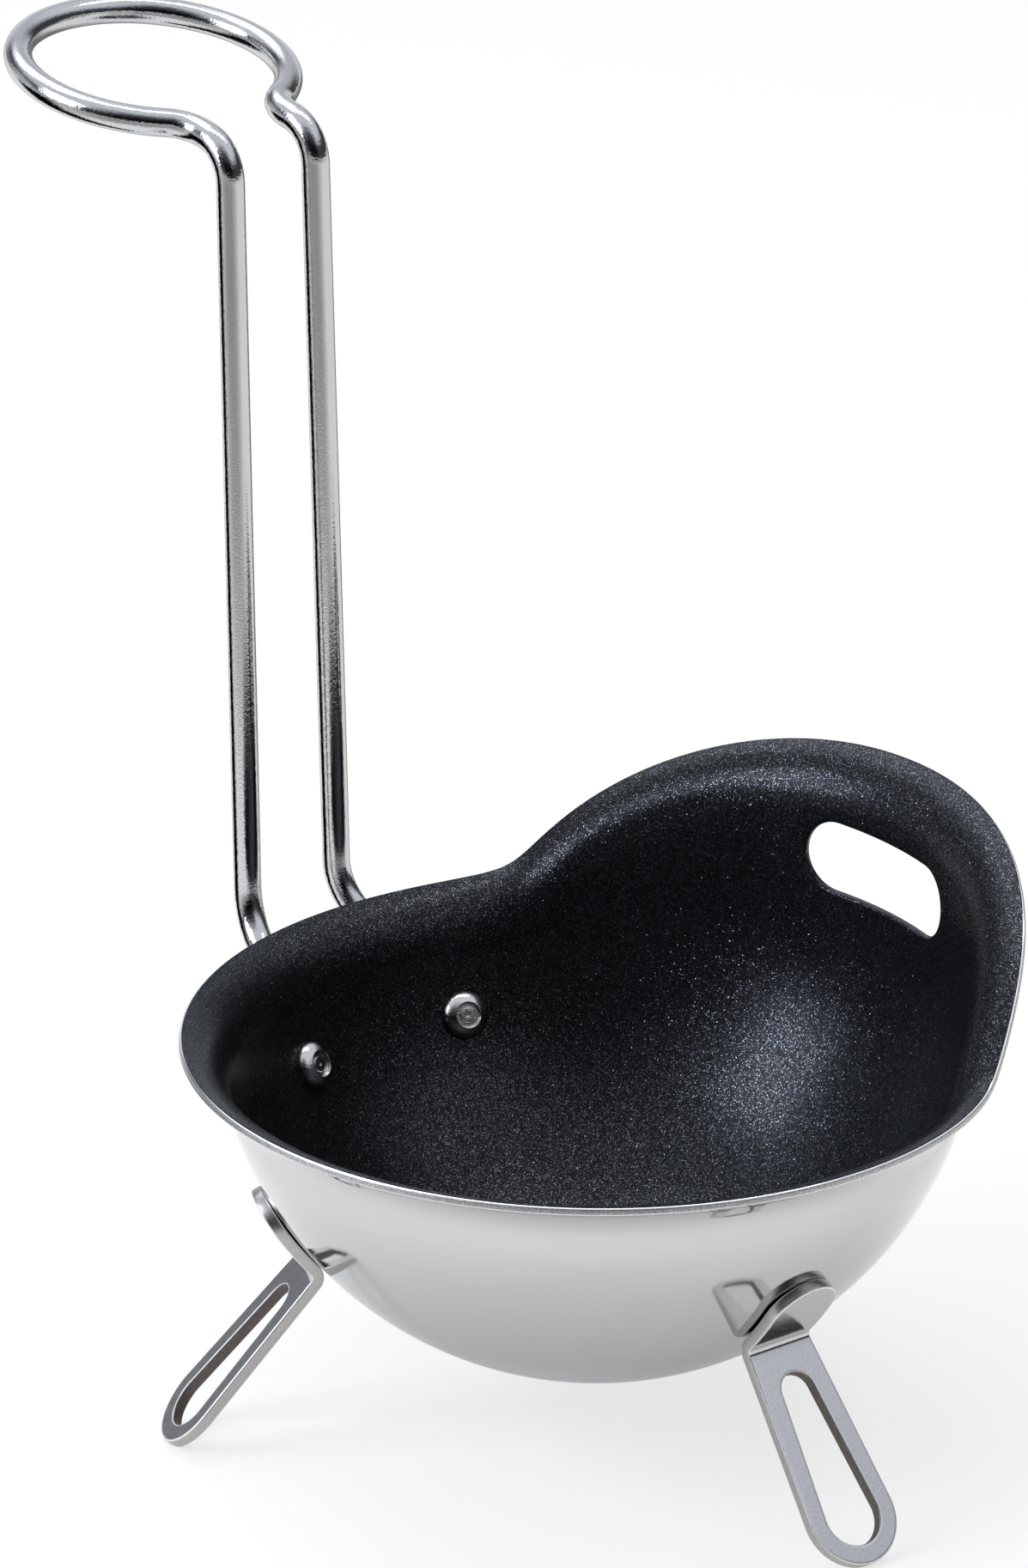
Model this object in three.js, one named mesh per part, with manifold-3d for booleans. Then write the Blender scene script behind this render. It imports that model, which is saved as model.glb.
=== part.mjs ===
// Egg poaching bowl: a drawn steel bowl with a flared lip and a raised, slotted wall,
// coated black inside, on three strap legs, with a bent wire handle riveted to its back.
// Millimetres, +Z up, standing on z = 0. The raised wall faces +X and the handle +Y.
import * as THREE from 'three';
import { mergeVertices } from 'three/addons/utils/BufferGeometryUtils.js';
import Module from 'manifold-3d';

const wasm = await Module();
wasm.setup();

const degrees = Math.PI / 180;

// Bowl
const bowlRadius = 46.1; // outside of the round bowl
const bowlBottom = 8.4; // height of its lowest point over the table
const sheet = 0.8; // steel
const coating = 0.25; // black non-stick skin
const coatingGap = 0.2; // between skin and steel
const rimRadius = 50; // outside of the lip's edge
const rimHeight = 48.9;
const lipRise = 5.9; // height of the lip, from where the wall leaves the round
const lipLean = 80 * degrees; // of the lip's edge, from upright
const lipPull = 3.1; // how stiffly the lip's curve leaves the round and meets the edge

// Raised wall
const wallRise = 22.2; // of its edge, over the rim
const wallReach = 1.8; // of its edge, beyond the rim
const wallHalfAngle = 60.4 * degrees;
const wallShoulder = 2.15; // power that keeps the top broad
const wallPower = 0.73; // that steepens the climb
const wallSoftness = 0.11; // of the hollow at the wall's foot
const wallMargin = 15 * degrees; // taken up by that hollow
const wallLipRise = 6.4; // height of the lip at the wall's middle
const wallLipReach = 5.2; // how far the lip flares there
const wallLipLean = 3 * degrees; // of the wall where that lip starts
const wallLean = 76 * degrees; // of the edge, from upright

// Slot through the raised wall
const slotLength = 25.3;
const slotHeight = 9.1;
const slotMiddle = 58.5; // height
const slotAside = 1.5; // from the wall's middle, away from the handle

// Rivets
const rivetHalfAngle = 17.4 * degrees; // each side of the handle's middle
const rivetDrop = 24.8 * degrees; // below the bowl's widest level
const rivetShank = 3.1; // diameter
const rivetHead = 6; // diameter
const rivetHeadRise = 1.2;
const rivetDimple = 3.2; // diameter of the sunk ring in the head
const rivetDimpleDepth = 0.45;
const rivetPip = 1.9; // diameter of the stem's end in the ring
const rivetPipRise = 0.2;
const rivetTail = 5.2; // diameter of the clinched end outside
const rivetTailRise = 1.3;

// Handle
const wire = 3.5; // diameter
const paddleThickness = 1.5; // of the wire's flattened ends
const paddleWidth = 6.8;
const paddleFlat = 4.2; // flat beyond the rivet
const paddleBlend = 5.7; // over which flat turns round
const paddleRun = 7.6; // from the rivet to the bend
const paddleLean = 25 * degrees; // of each end, towards the other
const paddleSquareness = 0.5; // power of its section, where 1 is round
const handleStandOff = 6.3; // clear gap between lip and wire
const handleLean = 3.1; // how far the uprights lean out by their top
const lowBendHeight = 47.2;
const highBendHeight = 147;
const lowSpacing = 14.3; // between the two uprights, centre to centre
const highSpacing = 13.1;
const paddleBend = 6; // radius, on the wire's centre line
const lowBend = 8;
const highBend = 5.2;
const neckBend = 5.5;
const neckRun = 0.9; // straight between the high bend and the neck
const ringRadius = 16.7; // finger ring, on the centre line
const ringTilt = 10 * degrees; // upwards, away from the bowl

// Legs
const legAngles = [267.5, 150.5, 29]; // round the bowl, from +X
const legNames = ['leg_front', 'leg_left', 'leg_right'];
const legThickness = 1.5;
const legBendWidth = 9.4; // also the width of the tab
const legFootWidth = 12.3;
const legLean = 40 * degrees; // from upright
const legSlotBorder = 2.4;
const legSlotStart = 3.2; // beyond the bend
const legEdge = 0.3; // tumbled edges
const legBend = 0.8; // inside radius
const tabDrop = 37 * degrees; // where the tab touches, below the bowl's widest level
const tabRise = 7; // above the touching point
const tabFall = 5.3; // below it, to the bend
const footTrim = 0.23; // worn flat under each foot

// Fit and fineness
const seat = 0.3; // between touching pieces
const rivetClearance = 0.3; // round the shank
const rimSteps = 34;
const wallSteps = 32;
const roundSteps = 8;
const lipSteps = 8;
const climbSteps = 0.4; // on the wall below the lip, against those on the lip
const wireSides = 10;
const rivetSides = 16;
const slotSteps = 10; // round each end of a slot
const endSteps = 6; // round each end of a strap or wire
const tabSteps = 3;
const domeSteps = 4;
const arcStep = 14 * degrees;

const bowlCentre = new THREE.Vector3(0, 0, bowlBottom + bowlRadius);
const skin = sheet + coatingGap + coating;

// A closed body through rings of points, drawn to a point at each end
function loft(rings, startPoint, endPoint) {
  const sides = rings[0].length;
  const points = [...rings.flat(), startPoint, endPoint];
  const start = points.length - 2;
  const end = points.length - 1;
  const lastRing = (rings.length - 1) * sides;
  const index = [];
  for (let side = 0; side < sides; side += 1) {
    const next = (side + 1) % sides;
    index.push(start, next, side);
    index.push(end, lastRing + side, lastRing + next);
    for (let ring = 0; ring < rings.length - 1; ring += 1) {
      const low = ring * sides;
      const high = low + sides;
      index.push(low + side, low + next, high + next);
      index.push(low + side, high + next, high + side);
    }
  }
  let volume = 0;
  for (let corner = 0; corner < index.length; corner += 3) {
    const [a, b, c] = [0, 1, 2].map((step) => points[index[corner + step]]);
    volume += a.dot(new THREE.Vector3().crossVectors(b, c));
  }
  if (volume < 0) index.reverse();
  const geometry = new THREE.BufferGeometry().setFromPoints(points);
  geometry.setIndex(index);
  return geometry;
}

function toSolid(geometry) {
  const bare = geometry.clone();
  bare.deleteAttribute('normal');
  bare.deleteAttribute('uv');
  const merged = mergeVertices(bare);
  return new wasm.Manifold(new wasm.Mesh({
    numProp: 3,
    vertProperties: new Float32Array(merged.attributes.position.array),
    triVerts: new Uint32Array(merged.index.array),
  }));
}

function cut(geometry, ...tools) {
  const solid = tools.reduce((rest, tool) => rest.subtract(toSolid(tool)), toSolid(geometry));
  const mesh = solid.getMesh();
  const result = new THREE.BufferGeometry();
  result.setAttribute('position', new THREE.BufferAttribute(mesh.vertProperties, 3));
  result.setIndex(new THREE.BufferAttribute(mesh.triVerts, 1));
  return result;
}

// Share of the raised wall's full height at an angle from its middle
function raise(angle) {
  const rise = 1 - (Math.abs(angle) / wallHalfAngle) ** wallShoulder;
  return ((rise + Math.hypot(rise, wallSoftness)) / 2) ** wallPower;
}

// Direction of a wall that leans outwards from upright, as radius and height
function leanWay(lean) {
  return new THREE.Vector2(Math.sin(lean), Math.cos(lean));
}

// A curve that leaves and meets its ends in given directions
function bentCurve(start, startWay, end, endWay, pull) {
  const first = start.clone().addScaledVector(startWay, pull);
  const last = end.clone().addScaledVector(endWay, -pull);
  return new THREE.CubicBezierCurve(start, first, last, end);
}

// One upright slice of the bowl, a list of [radius, height] from near the pole to the edge,
// taken at a depth inside the outer surface. The lip starts higher on the raised wall.
function bowlSlice(angle, depth) {
  const share = raise(angle);
  const lipStart = rimHeight - lipRise;
  const drop = Math.asin((bowlCentre.z - lipStart) / bowlRadius);
  const slice = [];
  for (let step = 1; step <= roundSteps; step += 1) {
    const turn = (Math.PI / 2 - drop) * (step / roundSteps);
    const radius = bowlRadius - depth;
    slice.push([radius * Math.sin(turn), bowlCentre.z - radius * Math.cos(turn)]);
  }
  const root = new THREE.Vector2(bowlRadius * Math.cos(drop), lipStart);
  const edge = new THREE.Vector2(rimRadius + wallReach * share, rimHeight + wallRise * share);
  const start = new THREE.Vector2(
    THREE.MathUtils.lerp(root.x, rimRadius + wallReach - wallLipReach, share),
    edge.y - THREE.MathUtils.lerp(lipRise, wallLipRise, share),
  );
  const startWay = leanWay(THREE.MathUtils.lerp(drop, wallLipLean, share));
  const edgeWay = leanWay(THREE.MathUtils.lerp(lipLean, wallLean, share));
  const climb = root.distanceTo(start);
  const wall = bentCurve(root, leanWay(drop), start, startWay, climb / 3);
  const lip = bentCurve(start, startWay, edge, edgeWay, lipPull);
  const part = (climbSteps * climb) / (climbSteps * climb + start.distanceTo(edge));
  for (let step = 1; step <= lipSteps; step += 1) {
    const along = step / lipSteps;
    const curve = along < part ? wall : lip;
    const place = along < part ? along / part : (along - part) / (1 - part);
    const point = curve.getPoint(place);
    const way = curve.getTangent(place);
    slice.push([point.x - way.y * depth, point.y + way.x * depth]);
  }
  return slice;
}

// The bowl's wall between two depths, with finer steps round the raised wall
function bowlWall(outerDepth, innerDepth) {
  const wallSpan = wallHalfAngle + wallMargin;
  const angles = [];
  for (let step = 0; step < wallSteps; step += 1) {
    angles.push(wallSpan * (2 * (step / wallSteps) - 1));
  }
  for (let step = 0; step < rimSteps; step += 1) {
    angles.push(wallSpan + (2 * Math.PI - 2 * wallSpan) * (step / rimSteps));
  }
  const ringsAt = (depth) => {
    const slices = angles.map((angle) => {
      const fromMiddle = angle > Math.PI ? angle - 2 * Math.PI : angle;
      return bowlSlice(fromMiddle, depth);
    });
    return slices[0].map((_, level) => angles.map((angle, turn) => {
      const [radius, height] = slices[turn][level];
      return new THREE.Vector3(radius * Math.cos(angle), radius * Math.sin(angle), height);
    }));
  };
  const pole = (depth) => new THREE.Vector3(0, 0, bowlBottom + depth);
  const rings = [...ringsAt(outerDepth), ...ringsAt(innerDepth).reverse()];
  return loft(rings, pole(outerDepth), pole(innerDepth));
}

// A slot outline between two round ends, centred on x = 0 and running along y
function slotShape(startY, startRadius, endY, endRadius) {
  const tilt = Math.asin((endRadius - startRadius) / (endY - startY));
  const shape = new THREE.Shape();
  shape.absarc(0, startY, startRadius, -tilt, Math.PI + tilt, true);
  shape.absarc(0, endY, endRadius, Math.PI + tilt, -tilt, true);
  shape.closePath();
  return shape;
}

function wallSlotTool() {
  const radius = slotHeight / 2;
  const reach = slotLength / 2 - radius;
  const depth = 2 * (rimRadius + wallReach - bowlRadius + skin) + bowlRadius;
  const tool = new THREE.ExtrudeGeometry(slotShape(-reach, radius, reach, radius), {
    depth,
    bevelEnabled: false,
    curveSegments: slotSteps,
  });
  const along = new THREE.Vector3(0, 1, 0);
  const up = new THREE.Vector3(0, 0, -1);
  const out = new THREE.Vector3(1, 0, 0);
  const placed = new THREE.Matrix4().makeBasis(up, along, out);
  placed.setPosition(bowlRadius / 2, -slotAside, slotMiddle);
  return tool.applyMatrix4(placed);
}

// Outward direction of the bowl's wall at a rivet, on side 1 or -1
function rivetWay(side) {
  return new THREE.Vector3(
    side * Math.sin(rivetHalfAngle) * Math.cos(rivetDrop),
    Math.cos(rivetHalfAngle) * Math.cos(rivetDrop),
    -Math.sin(rivetDrop),
  );
}

// Turns a shape made round the Y axis to stand on the bowl's wall at a rivet
function placeAtRivet(geometry, side) {
  const up = new THREE.Vector3(0, 1, 0);
  const turn = new THREE.Quaternion().setFromUnitVectors(up, rivetWay(side));
  return geometry.applyQuaternion(turn).translate(...bowlCentre.toArray());
}

function rivetHoleTool(side) {
  const radius = rivetShank / 2 + rivetClearance;
  const depth = 2 * (skin + paddleThickness + wire);
  const tool = new THREE.CylinderGeometry(radius, radius, depth, rivetSides);
  return placeAtRivet(tool.translate(0, bowlRadius, 0), side);
}

// A quarter of a dome's outline, from its foot up to a flat or a point at its crown
function dome(foot, crown, rise) {
  const start = Math.asin(crown / foot);
  return Array.from({ length: domeSteps + 1 }, (_, step) => {
    const turn = THREE.MathUtils.lerp(Math.PI / 2, start, step / domeSteps);
    return [foot * Math.sin(turn), rise * (Math.cos(turn) / Math.cos(start))];
  });
}

// A domed head with a sunk ring inside the bowl, a shank, and a clinched end on the handle
function rivet(side) {
  const innerWall = bowlRadius - skin;
  const headSeat = Math.sqrt(innerWall ** 2 - (rivetHead / 2) ** 2) - seat;
  const tailSeat = bowlRadius + seat + paddleThickness + seat;
  const crown = headSeat - rivetHeadRise;
  const head = dome(rivetHead / 2, rivetDimple / 2, rivetHeadRise);
  const tail = dome(rivetTail / 2, 0, rivetTailRise);
  const profile = [
    [0, crown + rivetDimpleDepth - rivetPipRise],
    [rivetPip / 2, crown + rivetDimpleDepth - rivetPipRise],
    [rivetPip / 2, crown + rivetDimpleDepth],
    [rivetDimple / 2, crown + rivetDimpleDepth],
    ...head.reverse().map(([radius, rise]) => [radius, headSeat - rise]),
    [rivetShank / 2, headSeat],
    [rivetShank / 2, tailSeat],
    ...tail.map(([radius, rise]) => [radius, tailSeat + rise]),
  ].map(([radius, height]) => new THREE.Vector2(radius, height));
  return placeAtRivet(new THREE.LatheGeometry(profile, rivetSides), side);
}

// Points along an arc that rounds the corner between two straight runs
function roundCorner(before, corner, after, radius) {
  const back = before.clone().sub(corner).normalize();
  const ahead = after.clone().sub(corner).normalize();
  const half = back.angleTo(ahead) / 2;
  const middle = back.clone().add(ahead).normalize();
  const centre = corner.clone().addScaledVector(middle, radius / Math.sin(half));
  const from = corner.clone().addScaledVector(back, radius / Math.tan(half)).sub(centre);
  const to = corner.clone().addScaledVector(ahead, radius / Math.tan(half)).sub(centre);
  const turn = from.angleTo(to);
  const steps = Math.max(2, Math.ceil(turn / arcStep));
  return Array.from({ length: steps + 1 }, (_, step) => {
    const share = step / steps;
    return centre.clone()
      .addScaledVector(from, Math.sin((1 - share) * turn) / Math.sin(turn))
      .addScaledVector(to, Math.sin(share * turn) / Math.sin(turn));
  });
}

// Steps from a round end's tip to its full width, a list of [distance back, half width].
// The tip itself is a little blunt.
function roundEnd(radius) {
  const blunt = 0.6;
  return Array.from({ length: endSteps + 1 }, (_, step) => {
    const turn = (Math.PI / 2) * ((step + blunt) / (endSteps + blunt));
    return [radius * (1 - Math.cos(turn)), radius * Math.sin(turn)];
  });
}

// Half of the finger ring and its neck, as points from the high bend to the ring's far side
function ringHalf(corner, highTangent) {
  const half = highSpacing / 2;
  const neckStart = highTangent + neckRun;
  const reach = Math.sqrt((ringRadius + neckBend) ** 2 - (half + neckBend) ** 2);
  const ringCentre = neckStart + reach;
  const meet = Math.acos(reach / (ringRadius + neckBend));
  const flat = [];
  const neckSteps = Math.ceil((Math.PI / 2 - meet) / arcStep);
  for (let step = 0; step < neckSteps; step += 1) {
    const turn = (Math.PI / 2 - meet) * (step / neckSteps);
    const out = neckStart + neckBend * Math.sin(turn);
    flat.push([out, half + neckBend - neckBend * Math.cos(turn)]);
  }
  const ringSteps = Math.ceil((Math.PI - meet) / arcStep);
  for (let step = 0; step <= ringSteps; step += 1) {
    const turn = Math.PI - meet - (Math.PI - meet) * (step / ringSteps);
    flat.push([ringCentre + ringRadius * Math.cos(turn), ringRadius * Math.sin(turn)]);
  }
  return flat.map(([out, aside]) => new THREE.Vector3(
    aside,
    corner.y + out * Math.cos(ringTilt),
    corner.z + out * Math.sin(ringTilt),
  ));
}

// Centre line of half the wire, from its flattened end to the ring's far side
function wireHalf() {
  const out = rivetWay(1);
  const aside = new THREE.Vector3(Math.cos(rivetHalfAngle), -Math.sin(rivetHalfAngle), 0);
  const up = new THREE.Vector3().crossVectors(aside, out);
  const along = up.multiplyScalar(Math.cos(paddleLean))
    .addScaledVector(aside, -Math.sin(paddleLean));
  const upright = rimRadius + handleStandOff + wire / 2;
  const rivetPoint = bowlCentre.clone()
    .addScaledVector(out, bowlRadius + seat + paddleThickness / 2);
  const end = rivetPoint.clone().addScaledVector(along, -paddleWidth / 2);
  const paddleCorner = rivetPoint.clone().addScaledVector(along, paddleRun);
  const lowCorner = new THREE.Vector3(lowSpacing / 2, upright, lowBendHeight);
  const highCorner = new THREE.Vector3(highSpacing / 2, upright + handleLean, highBendHeight);
  const ringWay = new THREE.Vector3(0, Math.cos(ringTilt), Math.sin(ringTilt));
  const ringPoint = highCorner.clone().addScaledVector(ringWay, ringRadius);
  const uprightWay = lowCorner.clone().sub(highCorner);
  const highTangent = highBend / Math.tan(uprightWay.angleTo(ringWay) / 2);
  const paddle = roundEnd(paddleWidth / 2)
    .map(([back]) => end.clone().addScaledVector(along, back));
  const flatEnd = rivetPoint.clone().addScaledVector(along, paddleFlat);
  return [
    ...paddle,
    flatEnd,
    ...roundCorner(end, paddleCorner, lowCorner, paddleBend),
    ...roundCorner(paddleCorner, lowCorner, highCorner, lowBend),
    ...roundCorner(lowCorner, highCorner, ringPoint, highBend),
    ...ringHalf(highCorner, highTangent),
  ];
}

// The wire's section: round along its length, hammered flat and rounded off at both ends
function wireSection(fromEnd) {
  const half = paddleWidth / 2;
  const flatEnd = half + paddleFlat;
  const flat = 1 - THREE.MathUtils.smoothstep(fromEnd, flatEnd, flatEnd + paddleBlend);
  const round = fromEnd < half ? Math.sqrt(half ** 2 - (half - fromEnd) ** 2) / half : 1;
  return {
    wide: THREE.MathUtils.lerp(wire / 2, half, flat) * round,
    thick: THREE.MathUtils.lerp(wire / 2, paddleThickness / 2, flat),
    power: THREE.MathUtils.lerp(1, paddleSquareness, flat),
  };
}

function handleWire() {
  const half = wireHalf();
  const mirrored = half.slice(0, -1).reverse().map((point) => point.clone().setX(-point.x));
  const points = [...half, ...mirrored];
  const last = points.length - 1;
  const lengths = [0];
  for (let step = 1; step <= last; step += 1) {
    lengths.push(lengths[step - 1] + points[step].distanceTo(points[step - 1]));
  }
  const total = lengths[last];
  const ways = points.map((_, step) => {
    const ahead = points[Math.min(step + 1, last)];
    return ahead.clone().sub(points[Math.max(step - 1, 0)]).normalize();
  });
  const normals = [rivetWay(1)];
  for (let step = 1; step <= last; step += 1) {
    const kept = normals[step - 1].clone();
    normals.push(kept.addScaledVector(ways[step], -kept.dot(ways[step])).normalize());
  }
  const wanted = rivetWay(-1);
  const side = new THREE.Vector3().crossVectors(ways[last], normals[last]);
  const twist = Math.atan2(wanted.dot(side), wanted.dot(normals[last]));
  const straight = paddleWidth + 2 * paddleRun;
  const rings = points.map((point, step) => {
    const share = THREE.MathUtils.clamp((lengths[step] - straight) / (total - 2 * straight), 0, 1);
    const normal = normals[step].clone().applyAxisAngle(ways[step], twist * share);
    const across = new THREE.Vector3().crossVectors(ways[step], normal);
    const section = wireSection(Math.min(lengths[step], total - lengths[step]));
    return Array.from({ length: wireSides }, (_, corner) => {
      const turn = (corner / wireSides) * 2 * Math.PI;
      const wide = Math.sign(Math.cos(turn)) * Math.abs(Math.cos(turn)) ** section.power;
      const thick = Math.sign(Math.sin(turn)) * Math.abs(Math.sin(turn)) ** section.power;
      return point.clone()
        .addScaledVector(across, wide * section.wide)
        .addScaledVector(normal, thick * section.thick);
    });
  });
  return cut(loft(rings, points[0], points[last]), rivetHoleTool(1), rivetHoleTool(-1));
}

// Steps along a leg's strap in its own upright plane, reaching out along +X: a tab curved along
// the bowl's wall, one sharp bend, and a straight foot that widens to a round end
function strapLine() {
  const half = legThickness / 2;
  const outAt = (drop) => new THREE.Vector3(Math.cos(drop), 0, -Math.sin(drop));
  const tabOut = outAt(tabDrop);
  const tabWay = new THREE.Vector3(-Math.sin(tabDrop), 0, -Math.cos(tabDrop));
  const footWay = new THREE.Vector3(Math.sin(legLean), 0, -Math.cos(legLean));
  const footOut = outAt(-legLean);
  const tabArc = bowlRadius + seat + half;
  const bendArc = legBend + half;
  const tabRadius = legBendWidth / 2;
  const footRadius = legFootWidth / 2;

  // The bend's centre lies beside the foot's line and touches the tab's arc from outside
  const corner = bowlCentre.clone()
    .addScaledVector(tabOut, tabArc)
    .addScaledVector(tabWay, tabFall);
  const beside = corner.clone().addScaledVector(footOut, bendArc).sub(bowlCentre);
  const behind = beside.dot(footWay);
  const ahead = Math.sqrt((tabArc + bendArc) ** 2 - beside.lengthSq() + behind ** 2);
  const bendCentre = bowlCentre.clone().add(beside).addScaledVector(footWay, ahead - behind);
  const towards = bendCentre.clone().sub(bowlCentre);
  const bendDrop = Math.atan2(-towards.z, towards.x);
  const footStart = bendCentre.clone().addScaledVector(footOut, -bendArc);
  const footLength = (footStart.z + footTrim - half * Math.sin(legLean)) / Math.cos(legLean);

  const tabStart = tabDrop - tabRise / tabArc;
  const onTab = (along, wide) => {
    const out = outAt(tabStart + along / tabArc);
    return { point: bowlCentre.clone().addScaledVector(out, tabArc), out, wide };
  };
  const tab = roundEnd(tabRadius).map(([back, wide]) => onTab(back, wide));
  const tabLength = (bendDrop - tabStart) * tabArc;
  for (let step = 1; step < tabSteps; step += 1) {
    tab.push(onTab(THREE.MathUtils.lerp(tabRadius, tabLength, step / tabSteps), tabRadius));
  }
  const bendTurn = bendDrop + legLean;
  const bendSteps = Math.ceil(bendTurn / arcStep);
  const bend = Array.from({ length: bendSteps + 1 }, (_, step) => {
    const out = outAt(bendDrop - bendTurn * (step / bendSteps));
    return { point: bendCentre.clone().addScaledVector(out, -bendArc), out, wide: tabRadius };
  });
  const foot = roundEnd(footRadius).reverse().map(([back, wide]) => ({
    point: footStart.clone().addScaledVector(footWay, footLength - back),
    out: footOut,
    wide,
  }));
  return { steps: [...tab, ...bend, ...foot], footStart, footWay, footOut, footLength };
}

// The strap's body, with tumbled edges
function strapBody(steps) {
  const half = legThickness / 2;
  const rings = steps.map(({ point, out, wide }) => {
    const outline = [
      [wide, half - legEdge], [wide - legEdge, half],
      [legEdge - wide, half], [-wide, half - legEdge],
      [-wide, legEdge - half], [legEdge - wide, -half],
      [wide - legEdge, -half], [wide, legEdge - half],
    ];
    return outline.map(([aside, proud]) => point.clone()
      .addScaledVector(out, proud)
      .add(new THREE.Vector3(0, aside, 0)));
  });
  return loft(rings, steps[0].point, steps.at(-1).point);
}

// A strap leg with a slot along its foot, cut flat where it stands
function leg() {
  const { steps, footStart, footWay, footOut, footLength } = strapLine();
  const footRadius = legFootWidth / 2;
  const slotEndRadius = footRadius - legSlotBorder;
  const slotStartRadius = legBendWidth / 2 - legSlotBorder;
  const slotEnd = footLength - footRadius;
  const slotStart = legSlotStart + slotStartRadius;
  const depth = 4 * legThickness;
  const outline = slotShape(slotStart, slotStartRadius, slotEnd, slotEndRadius);
  const slotTool = new THREE.ExtrudeGeometry(outline, {
    depth,
    bevelEnabled: false,
    curveSegments: slotSteps,
  });
  slotTool.translate(0, 0, -depth / 2);
  const across = new THREE.Vector3(0, -1, 0);
  const placed = new THREE.Matrix4().makeBasis(across, footWay, footOut);
  slotTool.applyMatrix4(placed.setPosition(footStart));
  const floorTool = new THREE.BoxGeometry(4 * bowlRadius, 4 * bowlRadius, bowlRadius);
  floorTool.translate(0, 0, -bowlRadius / 2);
  return cut(strapBody(steps), slotTool, floorTool);
}

function steel(color, roughness) {
  return new THREE.MeshStandardMaterial({ color, roughness, metalness: 1 });
}

function addPart(parent, name, geometry, material) {
  const part = new THREE.Mesh(geometry, material);
  part.name = name;
  parent.add(part);
  return part;
}

const bowl = new THREE.Group();
const holes = [wallSlotTool(), rivetHoleTool(1), rivetHoleTool(-1)];
const shell = bowlWall(0, sheet);
const lining = bowlWall(sheet + coatingGap, skin);
addPart(bowl, 'bowl_shell', cut(shell, ...holes), steel(0xc6c7ca, 0.18));
addPart(bowl, 'nonstick_lining', cut(lining, ...holes), new THREE.MeshStandardMaterial({
  color: 0x15161a,
  roughness: 0.42,
  metalness: 0,
}));
addPart(bowl, 'handle_wire', handleWire(), steel(0xd2d3d6, 0.08));
addPart(bowl, 'handle_rivet_left', rivet(-1), steel(0xc9cacc, 0.22));
addPart(bowl, 'handle_rivet_right', rivet(1), steel(0xc9cacc, 0.22));
legNames.forEach((name, which) => {
  const part = addPart(bowl, name, leg(), steel(0xb4b5bb, 0.34));
  part.rotation.z = legAngles[which] * degrees;
});

// The origin is the middle of the object's box, on the table
const box = new THREE.Box3().setFromObject(bowl, true);
const middle = box.getCenter(new THREE.Vector3());
bowl.position.set(-middle.x, -middle.y, -box.min.z);
const poacher = new THREE.Group();
poacher.add(bowl);

export default poacher;
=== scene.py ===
import math

import bmesh
import bpy
import numpy as np
from mathutils import Matrix, Vector


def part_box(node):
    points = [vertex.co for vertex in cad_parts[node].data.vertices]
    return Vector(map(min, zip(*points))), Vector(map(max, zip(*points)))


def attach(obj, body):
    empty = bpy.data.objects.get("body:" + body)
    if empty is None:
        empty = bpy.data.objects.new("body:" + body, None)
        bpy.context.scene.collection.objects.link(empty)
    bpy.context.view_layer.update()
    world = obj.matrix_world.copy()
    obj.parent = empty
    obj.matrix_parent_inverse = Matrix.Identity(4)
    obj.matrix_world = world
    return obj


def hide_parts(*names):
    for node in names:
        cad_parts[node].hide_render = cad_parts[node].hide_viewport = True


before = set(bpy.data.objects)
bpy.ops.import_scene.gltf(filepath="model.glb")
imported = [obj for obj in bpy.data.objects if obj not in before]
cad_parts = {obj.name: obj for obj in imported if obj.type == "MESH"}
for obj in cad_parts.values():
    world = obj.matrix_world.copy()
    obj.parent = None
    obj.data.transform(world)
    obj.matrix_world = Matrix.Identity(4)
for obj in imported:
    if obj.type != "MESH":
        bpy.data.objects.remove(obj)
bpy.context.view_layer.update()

MM = 0.001
DEGREES = math.pi / 180

# Bowl
BOWL_RADIUS = 46.1  # outside of the round bowl
STEEL = 0.9
COATING = 0.1
LIP_START = 43.0  # height where the wall leaves the round
RIM_RADIUS = 50.0  # outside of the lip's edge
RIM_HEIGHT = 48.87
LIP_LEAN = 80 * DEGREES
LIP_PULL = 3.1  # how far the lip's curve keeps its directions
OUTER_CORNER = 0.2  # radius of the cut edge's corners
INNER_CORNER = 0.24
COATING_SETBACK = 0.2  # from the cut edge
COATING_CORNER = 0.08

# Raised wall and its slot
WALL_RISE = 22.23
WALL_REACH = 1.8
WALL_HALF_ANGLE = 60.4 * DEGREES
WALL_SHOULDER = 2.15  # squareness of its outline's top
WALL_POWER = 0.732  # steepness of its outline's sides
WALL_SOFTNESS = 0.11  # of the hollow at the wall's foot
WALL_LIFT = 21.7  # of the lip's start, over its height elsewhere
WALL_RADIUS = 46.6  # where the lip starts
WALL_START_LEAN = 3 * DEGREES  # there
WALL_LEAN = 76 * DEGREES  # of the edge
SLOT_LENGTH = 25.3
SLOT_HEIGHT = 9.1
SLOT_MIDDLE = 58.5  # height
SLOT_TILT = 0.02  # rise towards the handle
SLOT_ASIDE = -1.5  # from the wall's middle
SLOT_FRAME = 4.2  # width of the stretch of wall that is meshed round the slot
SLOT_COATING = 0.12  # thickness of the coating on the slot's edge
SLOT_CORNER = 0.3
SLOT_STEEL_CORNER = 0.2

# Rivets
RIVET_HALF_ANGLE = 17.4 * DEGREES
RIVET_DROP = 24.8 * DEGREES
RIVET_SHANK = 3.1
RIVET_HEAD = 6.0
RIVET_HEAD_RISE = 1.2
RIVET_DIMPLE = 3.2
RIVET_DIMPLE_DEPTH = 0.5
RIVET_PIP = 1.9
RIVET_PIP_RISE = 0.2
RIVET_DOT = 0.4
RIVET_DOT_DEPTH = 0.15
RIVET_TAIL = 5.2
RIVET_TAIL_RISE = 1.3
RIVET_CORNER = 0.12

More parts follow.
